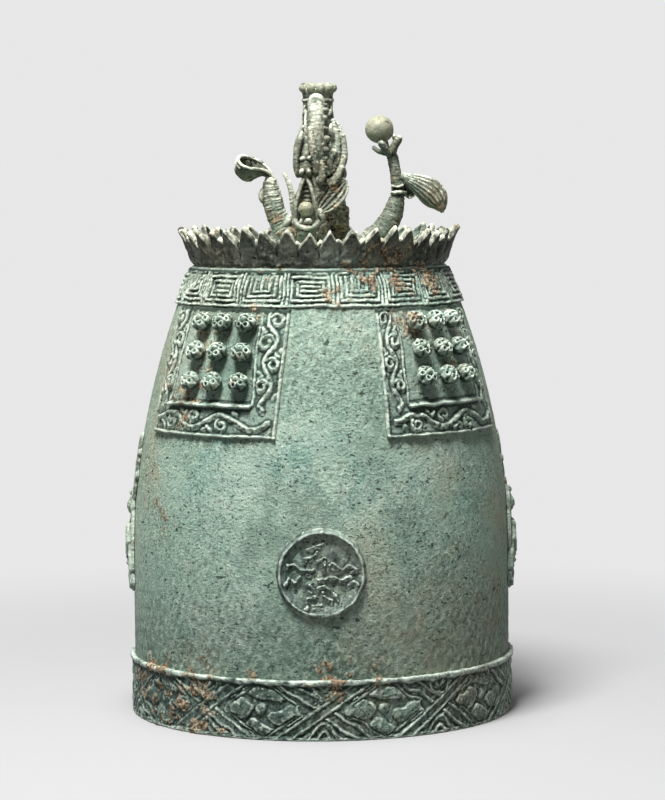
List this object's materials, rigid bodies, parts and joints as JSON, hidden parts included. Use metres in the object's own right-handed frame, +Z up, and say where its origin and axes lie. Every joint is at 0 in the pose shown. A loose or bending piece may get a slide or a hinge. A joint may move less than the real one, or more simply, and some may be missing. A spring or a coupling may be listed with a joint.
{
  "type": "temple bell",
  "caption": "Small cast bronze temple bell with lotus-petal collar, nipple panels, ornament bands, striking roundels, sound tube and dragon hanging loop.",
  "frame": {"origin": "centre of the mouth's flat rim, where the bell stands", "axes": "+Z up along the bell's axis; the front roundel faces -Y; +X to the right of the front"},
  "size_m": [0.1944, 0.1904, 0.3094],
  "materials": {
    "wall_bronze": "green and brown patina, pitted",
    "relief_bronze": "green patina with earthy crust in the hollows",
    "rubbed_bronze": "dark green patina with pale rubbed edges",
    "collar_bronze": "dark brown-green patina with pale worn petal tips",
    "dragon_bronze": "mottled patina with orange crust",
    "jewel_bronze": "pale smooth patina"
  },
  "bodies": {
    "root": {"bell_wall": "wall_bronze", "claw_jewel": "jewel_bronze", "crown_plate": "wall_bronze", "dragon_body": "dragon_bronze", "dragon_head": "dragon_bronze", "dragon_neck": "dragon_bronze", "left_foreleg": "dragon_bronze", "left_leg_flame": "dragon_bronze", "lotus_collar": "collar_bronze", "lower_band": "rubbed_bronze", "mane_lock": "dragon_bronze", "mouth_jewel": "jewel_bronze", "nipple_back_left_11": "relief_bronze", "nipple_back_left_12": "relief_bronze", "nipple_back_left_13": "relief_bronze", "nipple_back_left_21": "relief_bronze", "nipple_back_left_22": "relief_bronze", "nipple_back_left_23": "relief_bronze", "nipple_back_left_31": "relief_bronze", "nipple_back_left_32": "relief_bronze", "nipple_back_left_33": "relief_bronze", "nipple_back_right_11": "relief_bronze", "nipple_back_right_12": "relief_bronze", "nipple_back_right_13": "relief_bronze", "nipple_back_right_21": "relief_bronze", "nipple_back_right_22": "relief_bronze", "nipple_back_right_23": "relief_bronze", "nipple_back_right_31": "relief_bronze", "nipple_back_right_32": "relief_bronze", "nipple_back_right_33": "relief_bronze", "nipple_front_left_11": "relief_bronze", "nipple_front_left_12": "relief_bronze", "nipple_front_left_13": "relief_bronze", "nipple_front_left_21": "relief_bronze", "nipple_front_left_22": "relief_bronze", "nipple_front_left_23": "relief_bronze", "nipple_front_left_31": "relief_bronze", "nipple_front_left_32": "relief_bronze", "nipple_front_left_33": "relief_bronze", "nipple_front_right_11": "relief_bronze", "nipple_front_right_12": "relief_bronze", "nipple_front_right_13": "relief_bronze", "nipple_front_right_21": "relief_bronze", "nipple_front_right_22": "relief_bronze", "nipple_front_right_23": "relief_bronze", "nipple_front_right_31": "relief_bronze", "nipple_front_right_32": "relief_bronze", "nipple_front_right_33": "relief_bronze", "nipple_panel_back_left": "relief_bronze", "nipple_panel_back_right": "relief_bronze", "nipple_panel_front_left": "relief_bronze", "nipple_panel_front_right": "relief_bronze", "right_foreleg": "dragon_bronze", "right_leg_flame": "dragon_bronze", "side_figure_left": "relief_bronze", "side_figure_right": "relief_bronze", "sound_tube": "dragon_bronze", "strike_roundel_back": "rubbed_bronze", "strike_roundel_front": "rubbed_bronze", "upper_band": "relief_bronze"}
  },
  "joints": []
}
